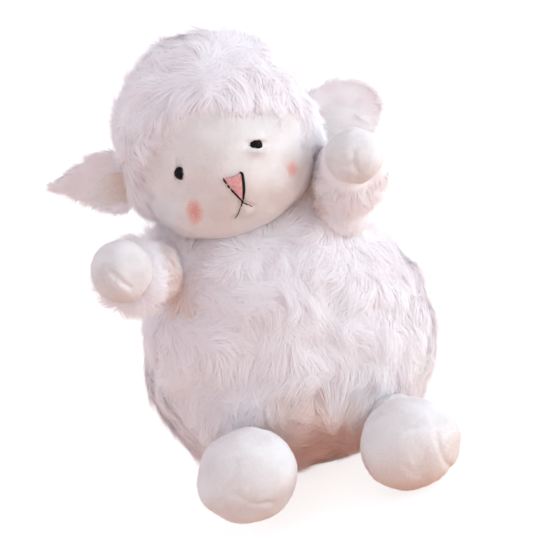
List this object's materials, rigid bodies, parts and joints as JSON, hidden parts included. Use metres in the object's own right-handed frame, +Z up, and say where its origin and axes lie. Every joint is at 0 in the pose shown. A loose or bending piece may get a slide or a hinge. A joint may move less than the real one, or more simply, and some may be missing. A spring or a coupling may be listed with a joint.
{
  "type": "plush sheep",
  "caption": "Sitting plush sheep: long-pile fleece body, hood and sleeves, smooth short-plush face, hands and feet, bead eyes, a stitched nose and raised arms, on a pressed-flat seat.",
  "frame": {"origin": "centre of the flat seat that the sheep sits on", "axes": "+Z up through the head, -Y the way the face looks, +X the sheep's own left side"},
  "size_m": [0.1613, 0.1752, 0.2203],
  "materials": {
    "long_pile_fleece": "matte",
    "short_plush": "matte",
    "fibre_filling": "matte",
    "eye_bead": "gloss",
    "washer_plastic": "matte",
    "nose_thread": "satin"
  },
  "bodies": {
    "body": {"body_fleece": "long_pile_fleece", "body_stuffing": "fibre_filling"},
    "neck": {"neck_collar": "long_pile_fleece"},
    "head": {"head_fleece": "long_pile_fleece", "face_panel": "short_plush", "head_stuffing": "fibre_filling", "eye_left": "eye_bead", "eye_right": "eye_bead", "eye_washer_left": "washer_plastic", "eye_washer_right": "washer_plastic", "nose_patch": "nose_thread"},
    "ear_left": {"ear_fleece_left": "long_pile_fleece", "ear_lining_left": "short_plush"},
    "ear_right": {"ear_fleece_right": "long_pile_fleece", "ear_lining_right": "short_plush"},
    "arm_left": {"sleeve_left": "long_pile_fleece", "hand_left": "short_plush", "arm_stuffing_left": "fibre_filling"},
    "arm_right": {"sleeve_right": "long_pile_fleece", "hand_right": "short_plush", "arm_stuffing_right": "fibre_filling"},
    "leg_left": {"leg_left": "short_plush", "leg_stuffing_left": "fibre_filling"},
    "leg_right": {"leg_right": "short_plush", "leg_stuffing_right": "fibre_filling"},
    "tail": {"tail_fleece": "long_pile_fleece"}
  },
  "joints": [
    {"name": "neck_turn", "type": "hinge", "parent": "body", "child": "neck", "pos_m": [0, -0.008, 0.1725], "axis": [0, 0, 1], "range_deg": [-7, 15], "stiffness_Nm_per_rad": 0.6},
    {"name": "head_nod", "type": "hinge", "parent": "neck", "child": "head", "pos_m": [0, -0.008, 0.1725], "axis": [1, 0, 0], "range_deg": [-12, 12], "stiffness_Nm_per_rad": 0.8},
    {"name": "ear_flap_left", "type": "hinge", "parent": "head", "child": "ear_left", "pos_m": [0.0492, -0.008, 0.16204], "axis": [0.2079, 0, 0.9781], "range_deg": [-20, 30], "stiffness_Nm_per_rad": 0.03},
    {"name": "ear_flap_right", "type": "hinge", "parent": "head", "child": "ear_right", "pos_m": [-0.05002, -0.008, 0.16724], "axis": [0.1045, 0, -0.9945], "range_deg": [-20, 30], "stiffness_Nm_per_rad": 0.03},
    {"name": "shoulder_left", "type": "hinge", "parent": "body", "child": "arm_left", "pos_m": [0.04924, -0.01959, 0.11954], "axis": [-0.9272, -0.3746, 0], "range_deg": [-45, 7], "stiffness_Nm_per_rad": 0.2},
    {"name": "shoulder_right", "type": "hinge", "parent": "body", "child": "arm_right", "pos_m": [-0.04924, -0.01959, 0.11954], "axis": [-0.8829, 0.4695, 0], "range_deg": [-23, 28], "stiffness_Nm_per_rad": 0.2},
    {"name": "hip_left", "type": "hinge", "parent": "body", "child": "leg_left", "pos_m": [0.03747, -0.04537, 0.0235], "axis": [-0.9994, -0.0349, 0], "range_deg": [-20, 20], "stiffness_Nm_per_rad": 0.3},
    {"name": "hip_right", "type": "hinge", "parent": "body", "child": "leg_right", "pos_m": [-0.03747, -0.04537, 0.0235], "axis": [-0.9945, 0.1045, 0], "range_deg": [-35, 5], "stiffness_Nm_per_rad": 0.3},
    {"name": "tail_wag", "type": "hinge", "parent": "body", "child": "tail", "pos_m": [0, 0.0522, 0.034], "axis": [0, 0, 1], "range_deg": [-20, 20], "stiffness_Nm_per_rad": 0.04}
  ]
}
